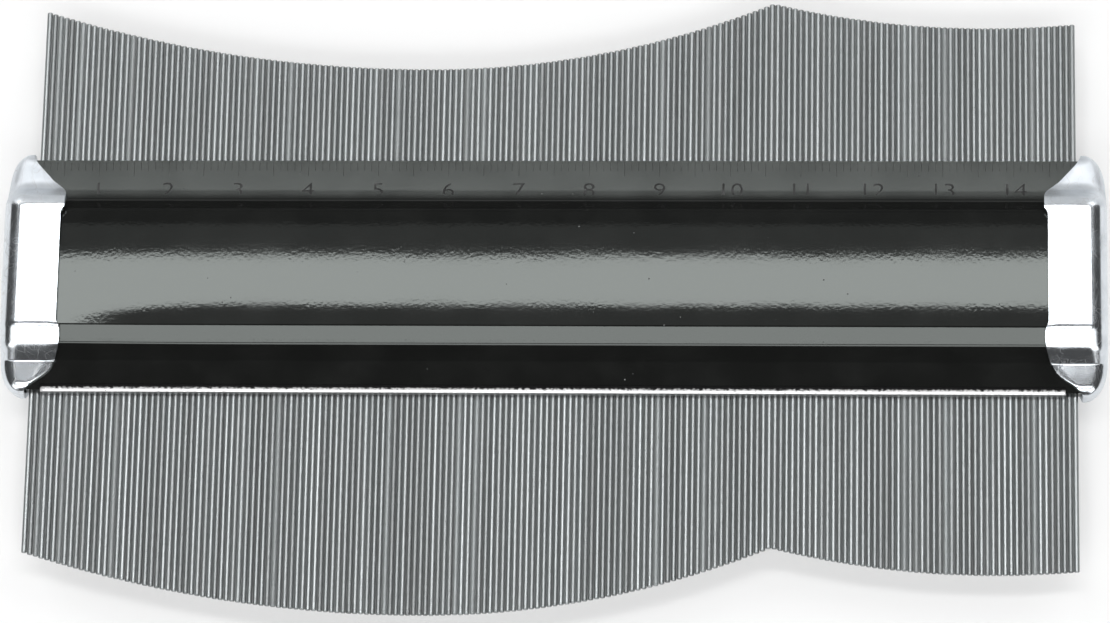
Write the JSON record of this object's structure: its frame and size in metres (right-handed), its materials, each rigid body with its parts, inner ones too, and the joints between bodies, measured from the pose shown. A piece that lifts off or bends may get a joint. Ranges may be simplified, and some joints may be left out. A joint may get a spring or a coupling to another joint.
{
  "type": "contour gauge",
  "caption": "Contour gauge that copies a profile: a row of thin steel pins slides between two ridged black steel shells with a scale, held by plated end clips.",
  "frame": {"origin": "the scale's zero on the plane that the gauge lies on, on the middle line between the flanges' edges", "axes": "+X along the scale towards higher readings, +Y along the pins towards the edge with the scale, +Z out of the front"},
  "size_m": [0.156, 0.0898, 0.0115],
  "materials": {
    "black_lacquer": "gloss black stoved lacquer with a faint orange peel",
    "bright_edging": "bright rolled steel, slightly scuffed",
    "polished_nickel": "polished nickel plate over pressed steel",
    "pad_rubber": "matt rubber",
    "plate_steel": "plain cut steel",
    "pin_steel": "bright drawn steel wire"
  },
  "bodies": {
    "body": {"front_shell": "black_lacquer", "rear_shell": "black_lacquer", "front_edging": "bright_edging", "rear_edging": "bright_edging", "front_friction_pad": "pad_rubber", "rear_friction_pad": "pad_rubber", "left_end_plate": "plate_steel", "right_end_plate": "plate_steel", "left_end_clip": "polished_nickel", "right_end_clip": "polished_nickel"},
    "pins_01": {"pins_01": "pin_steel"},
    "pins_02": {"pins_02": "pin_steel"},
    "pins_03": {"pins_03": "pin_steel"},
    "pins_04": {"pins_04": "pin_steel"},
    "pins_05": {"pins_05": "pin_steel"},
    "pins_06": {"pins_06": "pin_steel"},
    "pins_07": {"pins_07": "pin_steel"},
    "pins_08": {"pins_08": "pin_steel"},
    "pins_09": {"pins_09": "pin_steel"},
    "pins_10": {"pins_10": "pin_steel"},
    "pins_11": {"pins_11": "pin_steel"},
    "pins_12": {"pins_12": "pin_steel"},
    "pins_13": {"pins_13": "pin_steel"},
    "pins_14": {"pins_14": "pin_steel"},
    "pins_15": {"pins_15": "pin_steel"},
    "pins_16": {"pins_16": "pin_steel"},
    "pins_17": {"pins_17": "pin_steel"},
    "pins_18": {"pins_18": "pin_steel"},
    "pins_19": {"pins_19": "pin_steel"},
    "pins_20": {"pins_20": "pin_steel"},
    "pins_21": {"pins_21": "pin_steel"},
    "pins_22": {"pins_22": "pin_steel"},
    "pins_23": {"pins_23": "pin_steel"},
    "pins_24": {"pins_24": "pin_steel"},
    "pins_25": {"pins_25": "pin_steel"},
    "pins_26": {"pins_26": "pin_steel"},
    "pins_27": {"pins_27": "pin_steel"},
    "pins_28": {"pins_28": "pin_steel"},
    "pins_29": {"pins_29": "pin_steel"},
    "pins_30": {"pins_30": "pin_steel"},
    "pins_31": {"pins_31": "pin_steel"},
    "pins_32": {"pins_32": "pin_steel"},
    "pins_33": {"pins_33": "pin_steel"},
    "pins_34": {"pins_34": "pin_steel"},
    "pins_35": {"pins_35": "pin_steel"},
    "pins_36": {"pins_36": "pin_steel"},
    "pins_37": {"pins_37": "pin_steel"},
    "pins_38": {"pins_38": "pin_steel"},
    "pins_39": {"pins_39": "pin_steel"},
    "pins_40": {"pins_40": "pin_steel"},
    "pins_41": {"pins_41": "pin_steel"},
    "pins_42": {"pins_42": "pin_steel"},
    "pins_43": {"pins_43": "pin_steel"},
    "pins_44": {"pins_44": "pin_steel"},
    "pins_45": {"pins_45": "pin_steel"}
  },
  "joints": [
    {"name": "pins_01_slide", "type": "slide", "parent": "body", "child": "pins_01", "axis": [0, 1, 0], "range_m": [-0.02132, 0.02292]},
    {"name": "pins_02_slide", "type": "slide", "parent": "body", "child": "pins_02", "axis": [0, 1, 0], "range_m": [-0.02035, 0.02393]},
    {"name": "pins_03_slide", "type": "slide", "parent": "body", "child": "pins_03", "axis": [0, 1, 0], "range_m": [-0.01946, 0.02488]},
    {"name": "pins_04_slide", "type": "slide", "parent": "body", "child": "pins_04", "axis": [0, 1, 0], "range_m": [-0.01862, 0.02576]},
    {"name": "pins_05_slide", "type": "slide", "parent": "body", "child": "pins_05", "axis": [0, 1, 0], "range_m": [-0.01786, 0.02657]},
    {"name": "pins_06_slide", "type": "slide", "parent": "body", "child": "pins_06", "axis": [0, 1, 0], "range_m": [-0.01715, 0.02732]},
    {"name": "pins_07_slide", "type": "slide", "parent": "body", "child": "pins_07", "axis": [0, 1, 0], "range_m": [-0.01651, 0.02801]},
    {"name": "pins_08_slide", "type": "slide", "parent": "body", "child": "pins_08", "axis": [0, 1, 0], "range_m": [-0.01593, 0.02864]},
    {"name": "pins_09_slide", "type": "slide", "parent": "body", "child": "pins_09", "axis": [0, 1, 0], "range_m": [-0.01542, 0.0292]},
    {"name": "pins_10_slide", "type": "slide", "parent": "body", "child": "pins_10", "axis": [0, 1, 0], "range_m": [-0.01496, 0.0297]},
    {"name": "pins_11_slide", "type": "slide", "parent": "body", "child": "pins_11", "axis": [0, 1, 0], "range_m": [-0.01457, 0.03014]},
    {"name": "pins_12_slide", "type": "slide", "parent": "body", "child": "pins_12", "axis": [0, 1, 0], "range_m": [-0.01423, 0.03052]},
    {"name": "pins_13_slide", "type": "slide", "parent": "body", "child": "pins_13", "axis": [0, 1, 0], "range_m": [-0.01396, 0.03084]},
    {"name": "pins_14_slide", "type": "slide", "parent": "body", "child": "pins_14", "axis": [0, 1, 0], "range_m": [-0.01374, 0.0311]},
    {"name": "pins_15_slide", "type": "slide", "parent": "body", "child": "pins_15", "axis": [0, 1, 0], "range_m": [-0.01359, 0.0313]},
    {"name": "pins_16_slide", "type": "slide", "parent": "body", "child": "pins_16", "axis": [0, 1, 0], "range_m": [-0.01349, 0.03144]},
    {"name": "pins_17_slide", "type": "slide", "parent": "body", "child": "pins_17", "axis": [0, 1, 0], "range_m": [-0.01345, 0.03153]},
    {"name": "pins_18_slide", "type": "slide", "parent": "body", "child": "pins_18", "axis": [0, 1, 0], "range_m": [-0.01345, 0.03152]},
    {"name": "pins_19_slide", "type": "slide", "parent": "body", "child": "pins_19", "axis": [0, 1, 0], "range_m": [-0.0135, 0.0314]},
    {"name": "pins_20_slide", "type": "slide", "parent": "body", "child": "pins_20", "axis": [0, 1, 0], "range_m": [-0.01364, 0.0312]},
    {"name": "pins_21_slide", "type": "slide", "parent": "body", "child": "pins_21", "axis": [0, 1, 0], "range_m": [-0.01386, 0.03091]},
    {"name": "pins_22_slide", "type": "slide", "parent": "body", "child": "pins_22", "axis": [0, 1, 0], "range_m": [-0.01417, 0.03054]},
    {"name": "pins_23_slide", "type": "slide", "parent": "body", "child": "pins_23", "axis": [0, 1, 0], "range_m": [-0.01457, 0.03007]},
    {"name": "pins_24_slide", "type": "slide", "parent": "body", "child": "pins_24", "axis": [0, 1, 0], "range_m": [-0.01506, 0.02952]},
    {"name": "pins_25_slide", "type": "slide", "parent": "body", "child": "pins_25", "axis": [0, 1, 0], "range_m": [-0.01563, 0.02888]},
    {"name": "pins_26_slide", "type": "slide", "parent": "body", "child": "pins_26", "axis": [0, 1, 0], "range_m": [-0.01629, 0.02815]},
    {"name": "pins_27_slide", "type": "slide", "parent": "body", "child": "pins_27", "axis": [0, 1, 0], "range_m": [-0.01705, 0.02733]},
    {"name": "pins_28_slide", "type": "slide", "parent": "body", "child": "pins_28", "axis": [0, 1, 0], "range_m": [-0.01789, 0.02641]},
    {"name": "pins_29_slide", "type": "slide", "parent": "body", "child": "pins_29", "axis": [0, 1, 0], "range_m": [-0.01884, 0.02539]},
    {"name": "pins_30_slide", "type": "slide", "parent": "body", "child": "pins_30", "axis": [0, 1, 0], "range_m": [-0.01988, 0.02428]},
    {"name": "pins_31_slide", "type": "slide", "parent": "body", "child": "pins_31", "axis": [0, 1, 0], "range_m": [-0.02102, 0.02306]},
    {"name": "pins_32_slide", "type": "slide", "parent": "body", "child": "pins_32", "axis": [0, 1, 0], "range_m": [-0.02226, 0.02174]},
    {"name": "pins_33_slide", "type": "slide", "parent": "body", "child": "pins_33", "axis": [0, 1, 0], "range_m": [-0.02263, 0.02179]},
    {"name": "pins_34_slide", "type": "slide", "parent": "body", "child": "pins_34", "axis": [0, 1, 0], "range_m": [-0.02194, 0.02255]},
    {"name": "pins_35_slide", "type": "slide", "parent": "body", "child": "pins_35", "axis": [0, 1, 0], "range_m": [-0.02135, 0.02321]},
    {"name": "pins_36_slide", "type": "slide", "parent": "body", "child": "pins_36", "axis": [0, 1, 0], "range_m": [-0.02084, 0.02379]},
    {"name": "pins_37_slide", "type": "slide", "parent": "body", "child": "pins_37", "axis": [0, 1, 0], "range_m": [-0.02042, 0.02427]},
    {"name": "pins_38_slide", "type": "slide", "parent": "body", "child": "pins_38", "axis": [0, 1, 0], "range_m": [-0.02009, 0.02467]},
    {"name": "pins_39_slide", "type": "slide", "parent": "body", "child": "pins_39", "axis": [0, 1, 0], "range_m": [-0.01984, 0.02498]},
    {"name": "pins_40_slide", "type": "slide", "parent": "body", "child": "pins_40", "axis": [0, 1, 0], "range_m": [-0.01968, 0.02521]},
    {"name": "pins_41_slide", "type": "slide", "parent": "body", "child": "pins_41", "axis": [0, 1, 0], "range_m": [-0.01961, 0.02535]},
    {"name": "pins_42_slide", "type": "slide", "parent": "body", "child": "pins_42", "axis": [0, 1, 0], "range_m": [-0.0196, 0.02538]},
    {"name": "pins_43_slide", "type": "slide", "parent": "body", "child": "pins_43", "axis": [0, 1, 0], "range_m": [-0.01963, 0.02529]},
    {"name": "pins_44_slide", "type": "slide", "parent": "body", "child": "pins_44", "axis": [0, 1, 0], "range_m": [-0.01975, 0.02511]},
    {"name": "pins_45_slide", "type": "slide", "parent": "body", "child": "pins_45", "axis": [0, 1, 0], "range_m": [-0.01995, 0.02484]}
  ]
}
